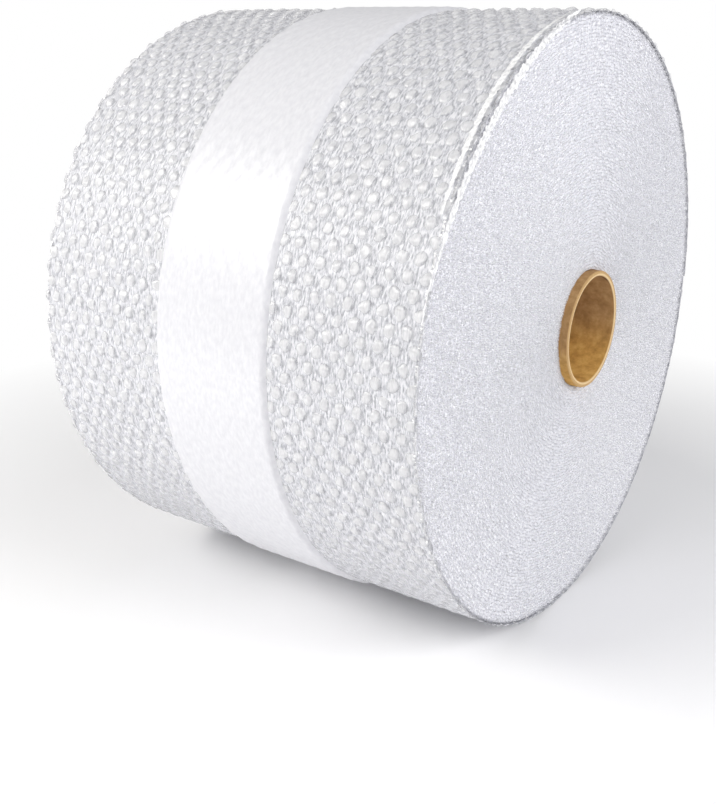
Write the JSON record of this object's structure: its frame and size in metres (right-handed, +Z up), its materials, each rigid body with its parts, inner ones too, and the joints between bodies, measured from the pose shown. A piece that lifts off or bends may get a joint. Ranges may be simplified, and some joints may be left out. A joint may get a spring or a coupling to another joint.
{
  "type": "bubble wrap roll",
  "caption": "Wide roll of clear bubble wrap wound on a cardboard core, lying on its side, with a white band round its middle.",
  "frame": {"origin": "middle of the roll's length and depth, on the ground under its flat underside", "axes": "+X along the roll's axis towards the end that faces the viewer, -Y towards the viewer, +Z up"},
  "size_m": [0.516, 0.7022, 0.6951],
  "materials": {
    "bubble_film": "clear soft film full of air bubbles, milky white where many turns lie together",
    "cardboard": "brown core board wound in a spiral, dull, with paler cut ends",
    "white_band": "smooth white film with a soft shine"
  },
  "bodies": {
    "root": {"bubble_wrap": "bubble_film", "cardboard_core": "cardboard", "paper_band": "white_band"}
  },
  "joints": []
}
